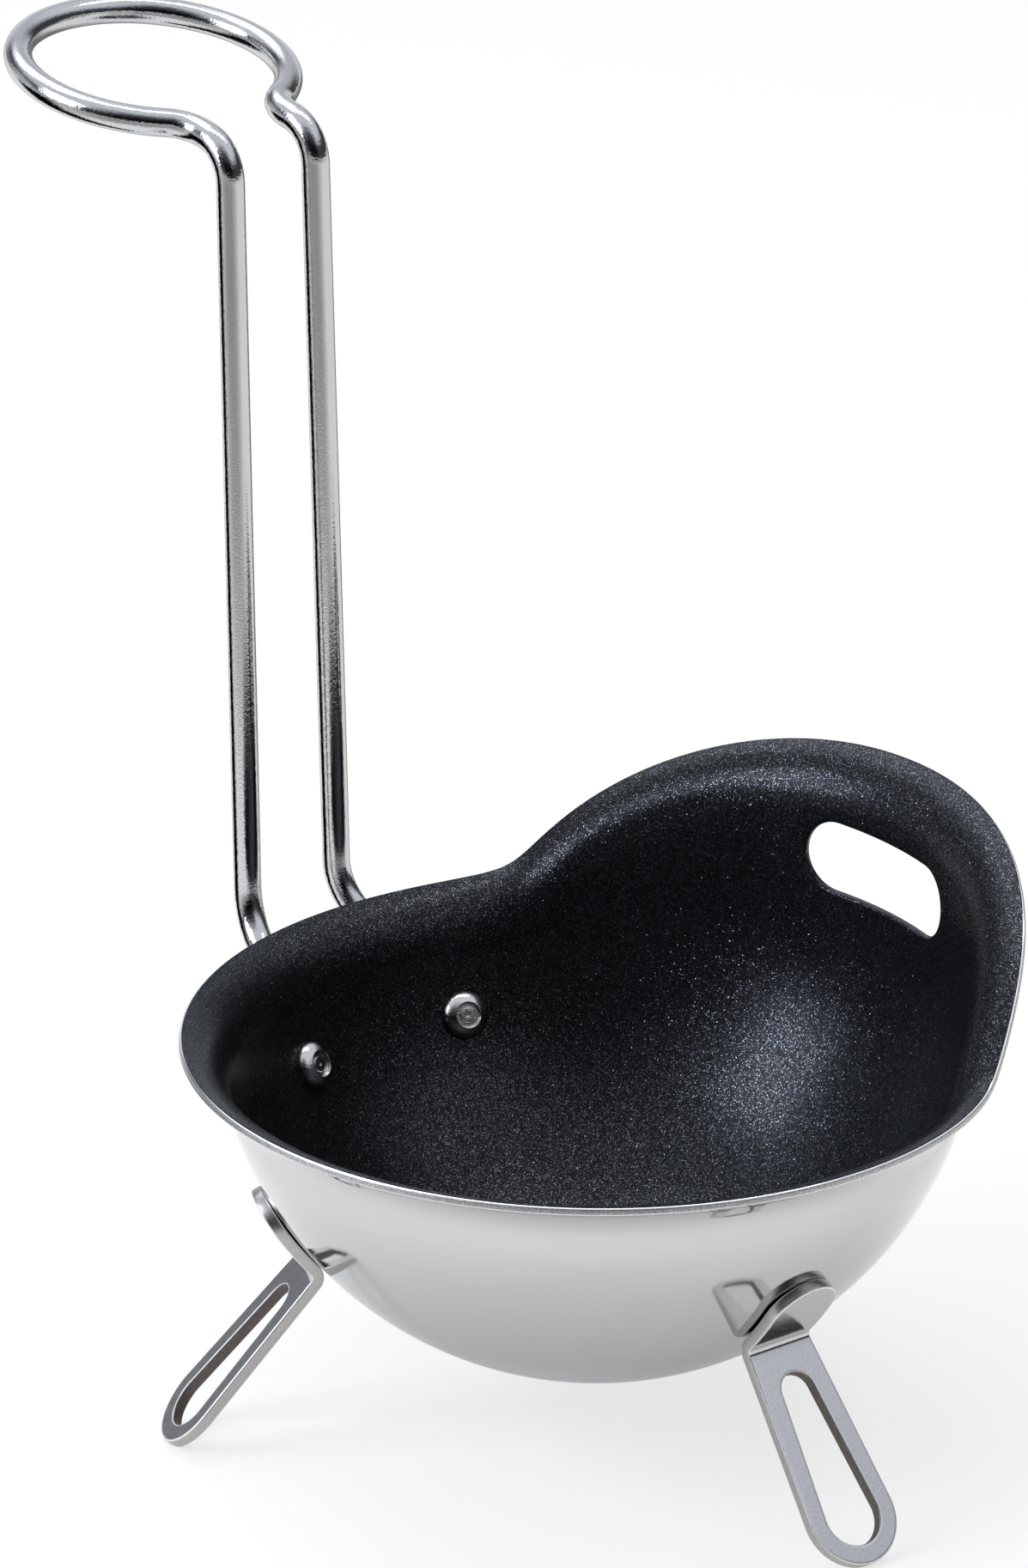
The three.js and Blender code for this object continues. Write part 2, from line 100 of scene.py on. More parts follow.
# Handle
WIRE = 3.5
PADDLE_THICKNESS = 1.5
PADDLE_WIDTH = 6.8
PADDLE_FLAT = 4.2
PADDLE_BLEND = 5.7
PADDLE_RUN = 7.6
PADDLE_LEAN = 25 * DEGREES
PADDLE_SQUARENESS = 0.55  # power of its section, where 1 is round
HANDLE_STAND_OFF = 6.3
HANDLE_LEAN = 3.1
LOW_BEND_HEIGHT = 47.2
HIGH_BEND_HEIGHT = 147.0
LOW_SPACING = 14.3
HIGH_SPACING = 13.1
PADDLE_BEND = 6.0
LOW_BEND = 8.0
HIGH_BEND = 5.2
NECK_BEND = 5.5
NECK_RUN = 0.9
RING_RADIUS = 16.7
RING_TILT = 10 * DEGREES
SEAT = 0.3

# Legs
LEGS = {"leg_front": 267.5 * DEGREES, "leg_left": 150.5 * DEGREES, "leg_right": 29 * DEGREES}
LEG_THICKNESS = 1.5
LEG_BEND_WIDTH = 9.4
LEG_FOOT_WIDTH = 12.3
LEG_LEAN = 40 * DEGREES
LEG_SLOT_BORDER = 2.4
LEG_SLOT_START = 3.2
LEG_EDGE = 0.26  # radius of the corners
LEG_MARGIN = 0.15  # flat border of the faces, inside the corners
LEG_BEND = 0.8  # inside radius
TAB_DROP = 37 * DEGREES
TAB_RISE = 7.0
TAB_FALL = 5.3
TAB_SEAT = 0.02
FOOT_TRIM = 0.23

# Coating's flecks
FLECK_SCALE = 7000.0  # per metre
FLECK_SHARE = 0.75
FLECK_TILT = 0.9  # of the few that lean most

# Fineness
WALL_SPAN = 75 * DEGREES  # half of the stretch with finer columns
WALL_COLUMNS = 150
RIM_COLUMNS = 170
ROUND_ROWS = 44
LIP_ROWS = 36
CLIMB_ROWS = 0.5  # rows on the wall below the lip, against those on the lip
CORNER_STEPS = 5
CORNER_SHARE = 0.45  # of a side that a rivet's rounded corner takes, at most
SEARCH_STEPS = 12  # of the search for a place on the wall
SLOT_RINGS = 7
WIRE_SIDES = 40
WIRE_STEP = 0.9
PADDLE_STEP = 0.5
RIVET_SIDES = 64
TIP_STEPS = 15  # round a quarter of a paddle's or a leg's end
LEG_TAB_ROWS = 5
LEG_BEND_ROWS = 12
LEG_FOOT_ROWS = 21
LEG_COLUMNS = 9
ARC_STEP = 3 * DEGREES

# Studio. Levels are 1 for white, angles are in degrees from the camera's side, distances in metres
ROOM_SKY = (0.38, 0.62, 0.06, 0.85)  # two sines of elevation, and the levels there
ROOM_FRONT = (0.72, 0.94, 1.0, 0.08)  # two cosines of the angle from the front, and the levels
ROOM_FRONT_ELEVATION = 25
ROOM_PATCHES = {  # azimuth and elevation, with two cosines of the angle from there, and the levels
    (180, 0): (0.80, 0.90, 0.0, 0.8),
    (-112, 0): (0.90, 0.97, 0.0, 0.6),
    (-150, 50): (0.92, 0.985, 0.0, 2.6),
    (-142, 3): (0.95, 0.985, 0.0, 0.25),
}
ROOM_LIGHT = 0.55  # as soft light
ROOM_TINT = (0.94, 0.99, 1.06, 1)  # in reflections
SOFTBOXES = {  # azimuth, elevation, distance, width, height, radiance and colour
    "left_softbox": (-72, 27.5, 0.9, 0.42, 0.52, 5.5, (0.91, 0.97, 1.10)),
    "top_softbox": (0, 104, 1.0, 1.0, 0.14, 4.0, (1, 1, 1)),
}
SOFTBOX_AIM = 0.05  # height that they face
FLOOR_HALF_WIDTH = 8.0
FLOOR_COLOUR = (0.5, 0.5, 0.5, 1)
FLOOR_GLOW = 0.60
# the floor's glow seen in reflections is dimmed under the bowl, a painted shadow
FLOOR_PAINTED_SHADOW = (0.02, 0.07, 0.45, 1.0)  # two distances from the bowl's middle, and the shares there
FLAGS = {  # two azimuths, softness of the sides, two distances, and the levels near and further out
    "left_flag": (-120, -78, 0, 0.05, 1.5, 0.0, 0.0),
    "front_flag": (-85, 55, 50, 0.2, 1.8, 0.85, 0.4),
    "back_flag": (130, 210, 25, 0.06, 1.5, 0.9, 0.2),
}
FLAG_HEIGHT = 0.0004
FLAG_FADE = 0.15  # distance over which the level changes
FLAG_SIDE = 0.95  # level of the soft sides
FLAG_CORNERS = 13

# Photograph
PHOTO_WIDTH = 1197
PHOTO_HEIGHT = 1826
FOCAL_PIXELS = 8500
VIEW_AZIMUTH = -40.4 * DEGREES
VIEW_ELEVATION = 21.724 * DEGREES
VIEW_ROLL = 0.331 * DEGREES
VIEW_DISTANCE = 876.05  # from the camera to the middle of the rim
VIEW_RIM_PIXEL = (693.41, 1201.16)  # where the middle of the rim shows
VIEW_RIM_HEIGHT = 50.0

shell_low, shell_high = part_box("bowl_shell")
wire_low, wire_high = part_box("handle_wire")
AXIS = np.array([(wire_low.x + wire_high.x) / 2, (shell_low.y + shell_high.y) / 2, 0.0]) / MM
CENTRE_HEIGHT = shell_low.z / MM + BOWL_RADIUS
LIP_DROP = math.asin((CENTRE_HEIGHT - LIP_START) / BOWL_RADIUS)
BOWL_CENTRE = np.array([0.0, 0.0, CENTRE_HEIGHT])
SKIN = STEEL + COATING


def unit(vector):
    return vector / np.linalg.norm(vector)


def lerp(start, end, share):
    return start + (end - start) * share


class Form:
    """Points in millimetres from the bowl's axis on the table, with faces between them."""

    def __init__(self):
        self.points = []
        self.faces = []
        self.marks = []

    def add(self, points, mark=0.0):
        """Adds an array of points, and returns their numbers in an array of the same shape."""
        points = np.asarray(points, float)
        first = len(self.points)
        flat = points.reshape(-1, 3)
        self.points.extend(flat.tolist())
        self.marks.extend([mark] * len(flat))
        return np.arange(first, first + len(flat)).reshape(points.shape[:-1])

    def join(self, low, high, closed=True):
        """Faces between two rows of as many points."""
        count = len(low)
        for here in range(count if closed else count - 1):
            ahead = (here + 1) % count
            self.faces.append((low[here], low[ahead], high[ahead], high[here]))

    def extend(self, ring, points, mark=0.0):
        """Adds another ring of as many points, with faces up to it, and returns it."""
        ahead = self.add(points, mark)
        self.join(ring, ahead)
        return ahead

    def join_all(self, rows, closed=True):
        for low, high in zip(rows, rows[1:]):
            self.join(low, high, closed)

    def fan(self, ring, tip, closed=True):
        count = len(ring)
        for here in range(count if closed else count - 1):
            self.faces.append((ring[here], ring[(here + 1) % count], tip))

    def build(self, name, material, node, slot):
        """Makes the piece, which stands for a CAD node and moves with the one body."""
        mesh = bpy.data.meshes.new(name)
        places = (np.array(self.points) + AXIS) * MM
        mesh.from_pydata(places.tolist(), [], [[int(i) for i in face] for face in self.faces])
        shaped = bmesh.new()
        shaped.from_mesh(mesh)
        bmesh.ops.recalc_face_normals(shaped, faces=shaped.faces)
        for face in shaped.faces:
            face.smooth = True
        shaped.to_mesh(mesh)
        shaped.free()
        marks = mesh.attributes.new("mark", "FLOAT", "POINT")
        marks.data.foreach_set("value", np.array(self.marks, np.float32))
        mesh.materials.append(material)
        piece = bpy.data.objects.new(name, mesh)
        bpy.context.scene.collection.objects.link(piece)
        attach(piece, "root")
        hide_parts(node)
        return piece


# Bowl wall
def raised_share(angle):
    """Share of the raised wall's full height at an angle from its middle."""
    away = np.abs((angle + math.pi) % (2 * math.pi) - math.pi)
    rise = 1.0 - (away / WALL_HALF_ANGLE) ** WALL_SHOULDER
    return ((rise + np.sqrt(rise ** 2 + WALL_SOFTNESS ** 2)) / 2) ** WALL_POWER


def lean_way(lean):
    """The direction of a wall that leans outwards from upright, as radius and height."""
    return np.stack([np.sin(lean), np.cos(lean)], -1)


def wall_frame(angle):
    """Where the lip starts and ends at an angle, as radius and height, with its directions there."""
    share = raised_share(angle)
    start = np.stack([
        lerp(BOWL_RADIUS * math.cos(LIP_DROP), WALL_RADIUS, share),
        LIP_START + WALL_LIFT * share,
    ], -1)
    edge = np.stack([RIM_RADIUS + WALL_REACH * share, RIM_HEIGHT + WALL_RISE * share], -1)
    start_way = lean_way(lerp(LIP_DROP, WALL_START_LEAN, share))
    edge_way = lean_way(lerp(LIP_LEAN, WALL_LEAN, share))
    return start, start_way, edge, edge_way


def curve(start, start_way, end, end_way, pull, step):
    """Points and directions along a curve that leaves and meets its ends in given directions."""
    step = step[..., None]
    back = 1.0 - step
    first = start + start_way * pull
    last = end - end_way * pull
    point = back ** 3 * start + 3 * back ** 2 * step * first + 3 * back * step ** 2 * last
    point = point + step ** 3 * end
    way = back ** 2 * (first - start) + 2 * back * step * (last - first) + step ** 2 * (end - last)
    return point, way / np.linalg.norm(way, axis=-1, keepdims=True)


def slice_points(angle, level, depth):
    """Radius and height on the wall. Level 0 is the pole, 1 the end of the round, 2 the edge."""
    angle, level, depth = np.broadcast_arrays(*map(np.asarray, (angle, level, depth)))
    turn = (math.pi / 2 - LIP_DROP) * np.minimum(level, 1.0)
    reach = BOWL_RADIUS - depth
    low = np.stack([reach * np.sin(turn), CENTRE_HEIGHT - reach * np.cos(turn)], -1)
    root = np.array([BOWL_RADIUS * math.cos(LIP_DROP), LIP_START])
    start, start_way, edge, edge_way = wall_frame(angle)
    climb = np.linalg.norm(start - root, axis=-1)
    climb_rows = CLIMB_ROWS * climb
    part = climb_rows / (climb_rows + np.linalg.norm(edge - start, axis=-1))
    step = np.clip(level - 1.0, 0.0, 1.0)
    on_wall = np.clip(step / part, 0.0, 1.0)
    on_lip = np.clip((step - part) / (1.0 - part), 0.0, 1.0)
    wall = curve(root, lean_way(LIP_DROP), start, start_way, climb[..., None] / 3, on_wall)
    lip = curve(start, start_way, edge, edge_way, LIP_PULL, on_lip)
    point, way = (np.where((step < part)[..., None], *pair) for pair in zip(wall, lip))
    inward = np.stack([-way[..., 1], way[..., 0]], -1)
    high = point + inward * depth[..., None]
    return np.where((level > 1.0)[..., None], high, low)


def turned(angle, slice_point):
    """Radius and height at an angle, as a point."""
    radius = slice_point[..., 0]
    return np.stack([radius * np.cos(angle), radius * np.sin(angle), slice_point[..., 1]], -1)


def wall_points(angle, level, depth):
    return turned(angle, slice_points(angle, level, depth))


def edge_points(angle, ahead, depth):
    """Points at the lip's edge, a distance ahead along the wall and a depth into it."""
    _, _, edge, way = wall_frame(angle)
    inward = np.stack([-way[..., 1], way[..., 0]], -1)
    return turned(angle, edge + way * ahead + inward * depth)


def wall_at(across, height, depth):
    """Points on the raised wall at a depth, found from their Y and Z."""
    step = 1e-5
    angle = np.arcsin(across / BOWL_RADIUS)
    level = np.full_like(angle, 1.5)

    def miss(angle, level):
        found = wall_points(angle, level, depth)
        return found[..., 1] - across, found[..., 2] - height

    for _ in range(SEARCH_STEPS):
        y, z = miss(angle, level)
        y_turn, z_turn = miss(angle + step, level)
        y_rise, z_rise = miss(angle, level + step)
        a, b = (y_turn - y) / step, (y_rise - y) / step
        c, d = (z_turn - z) / step, (z_rise - z) / step
        size = a * d - b * c
        angle = angle - (d * y - b * z) / size
        level = np.clip(level - (a * z - c * y) / size, 1.02, 2.0)
    return wall_points(angle, level, depth)


def bowl_angles():
    wall = np.linspace(-WALL_SPAN, WALL_SPAN, WALL_COLUMNS, endpoint=False)
    rim = np.linspace(WALL_SPAN, 2 * math.pi - WALL_SPAN, RIM_COLUMNS, endpoint=False)
    return np.concatenate([wall, rim])


ANGLES = bowl_angles()
LEVELS = np.concatenate([
    np.linspace(0, 1, ROUND_ROWS + 1)[1:],
    np.linspace(1, 2, LIP_ROWS + 1)[1:-1],
])


def slot_window():
    """First and last row and column of the stretch of wall that is meshed round the slot."""
    heights = wall_points(np.zeros_like(LEVELS), LEVELS, 0.0)[:, 2]
    half = SLOT_HEIGHT / 2 + SLOT_FRAME
    low = int(np.searchsorted(heights, SLOT_MIDDLE - half)) - 1
    high = int(np.searchsorted(heights, SLOT_MIDDLE + half))
    reach = math.asin((SLOT_LENGTH / 2 + SLOT_FRAME) / BOWL_RADIUS)
    columns = math.ceil(reach / (2 * WALL_SPAN / WALL_COLUMNS))
    return low, high, WALL_COLUMNS // 2 - columns, WALL_COLUMNS // 2 + columns


def window_loop():
    """Rows and columns round the slot's window, in order."""
    low, high, left, right = slot_window()
    loop = [(low, column) for column in range(left, right)]
    loop += [(row, right) for row in range(low, high)]
    loop += [(high, column) for column in range(right, left, -1)]
    loop += [(row, left) for row in range(high, low, -1)]
    return loop


def window_places(depth):
    """Y and Z of the window's points on the wall at a depth."""
    rows, columns = np.array(window_loop()).T
    return wall_points(ANGLES[columns], LEVELS[rows], depth)[:, 1:]


def slot_outline(grown, depth):
    """Y and Z round the slot at a depth, grown by a distance, one point for each of the window's.

    The slot is cut square to the wall, so it is wider outside."""
    window = window_places(0.0)
    reach = SLOT_LENGTH / 2 - SLOT_HEIGHT / 2
    along = np.clip(window[:, 0] - SLOT_ASIDE, -reach, reach)
    core = np.stack([SLOT_ASIDE + along, SLOT_MIDDLE + SLOT_TILT * along], -1)
    way = window - core
    way = way / np.linalg.norm(way, axis=-1, keepdims=True)
    outline = core + way * (SLOT_HEIGHT / 2 + grown)
    outline[:, 0] *= 1.0 + (SKIN - depth) / BOWL_RADIUS
    return outline


def slot_ring(grown, depth, shift=0.0):
    """A ring round the slot on the wall at a depth, shifted outwards along X."""
    outline = slot_outline(grown, depth)
    ring = wall_at(outline[:, 0], outline[:, 1], depth)
    ring[:, 0] += shift
    return ring


def add_wall(form, depth):
    """One side of the bowl's wall, with a window left open. Returns its rows and the window's loop."""
    grid = wall_points(ANGLES[None, :], LEVELS[:, None], depth)
    rows = form.add(grid)
    pole = form.add([[0, 0, CENTRE_HEIGHT - BOWL_RADIUS + depth]])[0]
    form.fan(rows[0], pole)
    low, high, left, right = slot_window()
    count = len(ANGLES)
    for row in range(len(LEVELS) - 1):
        for column in range(count):
            if low <= row < high and left <= column < right:
                continue
            ahead = (column + 1) % count
            form.faces.append((
                rows[row][column], rows[row][ahead], rows[row + 1][ahead], rows[row + 1][column],
            ))
    window = [rows[row][column] for row, column in window_loop()]
    return rows, window


def add_window(form, window, grown, depth):
    """Fills the window down to a ring round the slot. Returns the ring."""
    places = window_places(depth)
    outline = slot_outline(grown, depth)
    ring = window
    for step in range(1, SLOT_RINGS + 1):
        place = lerp(places, outline, step / SLOT_RINGS)
        ring = form.extend(ring, wall_at(place[:, 0], place[:, 1], depth))
    return ring


def quarter(steps=CORNER_STEPS):
    """Sine and cosine over a quarter turn."""
    turns = np.linspace(0, math.pi / 2, steps + 1)
    return [(math.sin(turn), math.cos(turn)) for turn in turns]


def bowl_shell(material):
    form = Form()
    outer, outer_window = add_wall(form, 0.0)
    inner, inner_window = add_wall(form, STEEL)
    edge = [outer[-1]]
    for sine, cosine in quarter():
        ahead = OUTER_CORNER * (sine - 1)
        depth = OUTER_CORNER * (1 - cosine)
        edge.append(form.add(edge_points(ANGLES, ahead, depth), sine))
    for sine, cosine in quarter():
        ahead = INNER_CORNER * (cosine - 1)
        depth = STEEL + INNER_CORNER * (sine - 1)
        edge.append(form.add(edge_points(ANGLES, ahead, depth), cosine))
    edge.append(inner[-1])
    form.join_all(edge)

    hole = SLOT_COATING
    ring = add_window(form, outer_window, hole + SLOT_STEEL_CORNER, 0.0)
    for sine, cosine in quarter()[1:]:
        grown = hole + SLOT_STEEL_CORNER * (1 - sine)
        ring = form.extend(ring, slot_ring(grown, 0.0, SLOT_STEEL_CORNER * (cosine - 1)))
    form.join(ring, add_window(form, inner_window, hole, STEEL))
    return form.build("steel_bowl", material, "bowl_shell", "bowl_steel")


def nonstick_lining(material):
    form = Form()
    face, face_window = add_wall(form, SKIN)
    back, back_window = add_wall(form, STEEL)
    edge = [face[-1]]
    for sine, cosine in quarter():
        ahead = -COATING_SETBACK + COATING_CORNER * (sine - 1)
        depth = SKIN + COATING_CORNER * (cosine - 1)
        edge.append(form.add(edge_points(ANGLES, ahead, depth)))
    edge.append(form.add(edge_points(ANGLES, -COATING_SETBACK, STEEL)))
    edge.append(back[-1])
    form.join_all(edge)

    ring = add_window(form, face_window, SLOT_CORNER, SKIN)
    for sine, cosine in quarter()[1:]:
        grown = SLOT_CORNER * (1 - sine)
        ring = form.extend(ring, slot_ring(grown, SKIN, SLOT_CORNER * (1 - cosine)))
    for grown, depth in ((0.0, COATING_CORNER), (SLOT_COATING / 2, COATING_CORNER / 2),
                         (SLOT_COATING, COATING_CORNER)):
        ring = form.extend(ring, slot_ring(grown, depth))
    form.join(ring, add_window(form, back_window, SLOT_COATING, STEEL))
    return form.build("nonstick_coating", material, "nonstick_lining", "coating")


# Rivets
def rivet_way(side):
    return np.array([
        side * math.sin(RIVET_HALF_ANGLE) * math.cos(RIVET_DROP),
        math.cos(RIVET_HALF_ANGLE) * math.cos(RIVET_DROP),
        -math.sin(RIVET_DROP),
    ])


def soften(outline, radius):
    """An open outline of 2-D points with its inner corners rounded."""
    soft = [np.array(outline[0], float)]
    for before, corner, after in zip(outline, outline[1:], outline[2:]):
        before, corner, after = (np.array(p, float) for p in (before, corner, after))
        back, ahead = before - corner, after - corner
        shorter = min(np.linalg.norm(back), np.linalg.norm(ahead))
        reach = min(radius, CORNER_SHARE * shorter)
        start, end = corner + unit(back) * reach, corner + unit(ahead) * reach
        for share in np.linspace(0, 1, CORNER_STEPS):
            soft.append(lerp(lerp(start, corner, share), lerp(corner, end, share), share))
    soft.append(np.array(outline[-1], float))
    return soft


def dome(foot, crown, rise, steps=10):
    """A quarter of a dome's outline, from its foot to its crown, as radius and rise."""
    start = math.asin(crown / foot)
    return [
        (foot * math.sin(turn), rise * math.cos(turn) / math.cos(start))
        for turn in np.linspace(math.pi / 2, start, steps)
    ]


def rivet(side, name, material):
    inner_wall = BOWL_RADIUS - SKIN
    seat = math.sqrt(inner_wall ** 2 - (RIVET_HEAD / 2) ** 2)
    head_seat = seat - SEAT
    tail_seat = BOWL_RADIUS + SEAT + PADDLE_THICKNESS
    crown = head_seat - RIVET_HEAD_RISE
    pip = crown + RIVET_DIMPLE_DEPTH - RIVET_PIP_RISE
    head = [(r, head_seat - z) for r, z in dome(RIVET_HEAD / 2, RIVET_DIMPLE / 2, RIVET_HEAD_RISE)]
    tail = [(r, tail_seat + SEAT + z) for r, z in dome(RIVET_TAIL / 2, 0, RIVET_TAIL_RISE)]
    middle = [
        (0, pip + RIVET_DOT_DEPTH), (RIVET_DOT / 2, pip + RIVET_DOT_DEPTH), (RIVET_DOT / 2, pip),
        (RIVET_PIP / 2, pip), (RIVET_PIP / 2, crown + RIVET_DIMPLE_DEPTH),
        (RIVET_DIMPLE / 2, crown + RIVET_DIMPLE_DEPTH), head[-1],
    ]
    body = [
        *head[-2::-1], (RIVET_HEAD / 2, seat), (RIVET_SHANK / 2, seat),
        (RIVET_SHANK / 2, tail_seat), (RIVET_TAIL / 2, tail_seat), *tail,
    ]
    outline = soften([*middle, *body], RIVET_CORNER)
    out = rivet_way(side)
    across = unit(np.cross(out, (0, 0, 1)))
    up = np.cross(across, out)
    turns = np.linspace(0, 2 * math.pi, RIVET_SIDES, endpoint=False)
    spokes = np.outer(np.cos(turns), across) + np.outer(np.sin(turns), up)
    form = Form()
    rows = [
        form.add(BOWL_CENTRE + spokes * radius + out * reach, float(radius < RIVET_DIMPLE / 2))
        for radius, reach in outline[1:-1]
    ]
    form.join_all(rows)
    form.fan(rows[0], form.add([BOWL_CENTRE + out * outline[0][1]], 1.0)[0])
    form.fan(rows[-1], form.add([BOWL_CENTRE + out * outline[-1][1]])[0])
    return form.build("rivet_" + name, material, "handle_rivet_" + name, "rivet_steel")


# Handle
def round_corner(before, corner, after, radius):
    """Points along an arc that rounds the corner between two straight runs."""
    back, ahead = unit(before - corner), unit(after - corner)
    half = math.acos(np.dot(back, ahead)) / 2
    centre = corner + unit(back + ahead) * (radius / math.sin(half))
    start = corner + back * (radius / math.tan(half)) - centre
    end = corner + ahead * (radius / math.tan(half)) - centre
    turn = math.pi - 2 * half
    steps = max(2, math.ceil(turn / ARC_STEP))
    return [
        centre + (start * math.sin((1 - s) * turn) + end * math.sin(s * turn)) / math.sin(turn)
        for s in np.linspace(0, 1, steps + 1)
    ]


def ring_half(corner, high_tangent):
    """Half of the finger ring and its neck, from the high bend to the ring's far side."""
    half = HIGH_SPACING / 2
    start = high_tangent + NECK_RUN
    reach = math.sqrt((RING_RADIUS + NECK_BEND) ** 2 - (half + NECK_BEND) ** 2)
    meet = math.acos(reach / (RING_RADIUS + NECK_BEND))
    neck = np.arange(0, math.pi / 2 - meet, ARC_STEP)
    ring = np.linspace(math.pi - meet, 0, math.ceil((math.pi - meet) / ARC_STEP))
    flat = [(start + NECK_BEND * math.sin(t), half + NECK_BEND * (1 - math.cos(t))) for t in neck]
    flat += [
        (start + reach + RING_RADIUS * math.cos(t), RING_RADIUS * math.sin(t)) for t in ring
    ]
    way = np.array([0, math.cos(RING_TILT), math.sin(RING_TILT)])
    lift = np.array([0, corner[1], corner[2]])
    return [lift + way * out + np.array([aside, 0, 0]) for out, aside in flat]


def wire_half():
    """Centre line of half the wire, from its flattened end to the ring's far side."""
    out = rivet_way(1)
    aside = np.array([math.cos(RIVET_HALF_ANGLE), -math.sin(RIVET_HALF_ANGLE), 0])
    along = np.cross(aside, out) * math.cos(PADDLE_LEAN) - aside * math.sin(PADDLE_LEAN)
    upright = RIM_RADIUS + HANDLE_STAND_OFF + WIRE / 2
    rivet_point = BOWL_CENTRE + out * (BOWL_RADIUS + SEAT + PADDLE_THICKNESS / 2)
    end = rivet_point - along * (PADDLE_WIDTH / 2)
    paddle_corner = rivet_point + along * PADDLE_RUN
    low = np.array([LOW_SPACING / 2, upright, LOW_BEND_HEIGHT])
    high = np.array([HIGH_SPACING / 2, upright + HANDLE_LEAN, HIGH_BEND_HEIGHT])
    ring_way = np.array([0, math.cos(RING_TILT), math.sin(RING_TILT)])
    upright_way = unit(low - high)
    high_tangent = HIGH_BEND / math.tan(math.acos(np.dot(upright_way, ring_way)) / 2)
    turns = np.linspace(0, math.pi / 2, TIP_STEPS + 1)[1:]
    paddle = [end + along * (PADDLE_WIDTH / 2 * (1 - math.cos(turn))) for turn in turns]
    flat = [rivet_point + along * step for step in np.arange(PADDLE_STEP, PADDLE_FLAT, PADDLE_STEP)]
    return [
        *paddle, *flat,
        *round_corner(end, paddle_corner, low, PADDLE_BEND),
        *round_corner(paddle_corner, low, high, LOW_BEND),
        *round_corner(low, high, high + ring_way * RING_RADIUS, HIGH_BEND),
        *ring_half(high, high_tangent),
    ], end


def finer(points, longest):
    """The same line with its long straights divided."""
    fine = [points[0]]
    for start, end in zip(points, points[1:]):
        steps = max(1, math.ceil(np.linalg.norm(end - start) / longest))
        fine += [lerp(start, end, share) for share in np.linspace(0, 1, steps + 1)[1:]]
    return fine


def wire_section(from_end):
    """Half width, half thickness and squareness of the wire at a distance from its end."""
    half = PADDLE_WIDTH / 2
    share = np.clip((from_end - half - PADDLE_FLAT) / PADDLE_BLEND, 0, 1)
    flat = 1 - share * share * (3 - 2 * share)
    tip = math.sqrt(half ** 2 - (half - from_end) ** 2) / half if from_end < half else 1.0
    return (
        lerp(WIRE / 2, half, flat) * tip,
        lerp(WIRE / 2, PADDLE_THICKNESS / 2, flat),
        lerp(1.0, PADDLE_SQUARENESS, flat),
    )


def handle_wire(material):
    """The wire along its line. Its section turns on the way, so that both paddles lie on the bowl."""
    half, end = wire_half()
    half = finer(half, WIRE_STEP)
    mirror = np.array([-1, 1, 1])
    points = np.array([*half, *(point * mirror for point in half[-2::-1])])
    ways = np.gradient(points, axis=0)
    ways /= np.linalg.norm(ways, axis=1, keepdims=True)
    lengths = np.concatenate([[0], np.cumsum(np.linalg.norm(np.diff(points, axis=0), axis=1))])
    lengths += np.linalg.norm(points[0] - end)
    total = lengths[-1] + lengths[0]
    normals = [rivet_way(1)]
    for way in ways[1:]:
        normals.append(unit(normals[-1] - way * np.dot(normals[-1], way)))
    wanted = rivet_way(-1)
    side = np.cross(ways[-1], normals[-1])
    twist = math.atan2(np.dot(wanted, side), np.dot(wanted, normals[-1]))
    straight = PADDLE_WIDTH + 2 * PADDLE_RUN
    turns = np.linspace(0, 2 * math.pi, WIRE_SIDES, endpoint=False)
    form = Form()
    rows = []
    for point, way, normal, length in zip(points, ways, normals, lengths):
        share = np.clip((length - straight) / (total - 2 * straight), 0, 1)
        normal = normal * math.cos(twist * share) + np.cross(way, normal) * math.sin(twist * share)
        across = np.cross(way, normal)
        wide, thick, power = wire_section(min(length, total - length))
        wides = np.sign(np.cos(turns)) * np.abs(np.cos(turns)) ** power * wide
        thicks = np.sign(np.sin(turns)) * np.abs(np.sin(turns)) ** power * thick
        rows.append(form.add(point + np.outer(wides, across) + np.outer(thicks, normal)))
    form.join_all(rows)
    form.fan(rows[0], form.add([end])[0])
    form.fan(rows[-1], form.add([end * mirror])[0])
    return form.build("wire_handle", material, "handle_wire", "wire_steel")


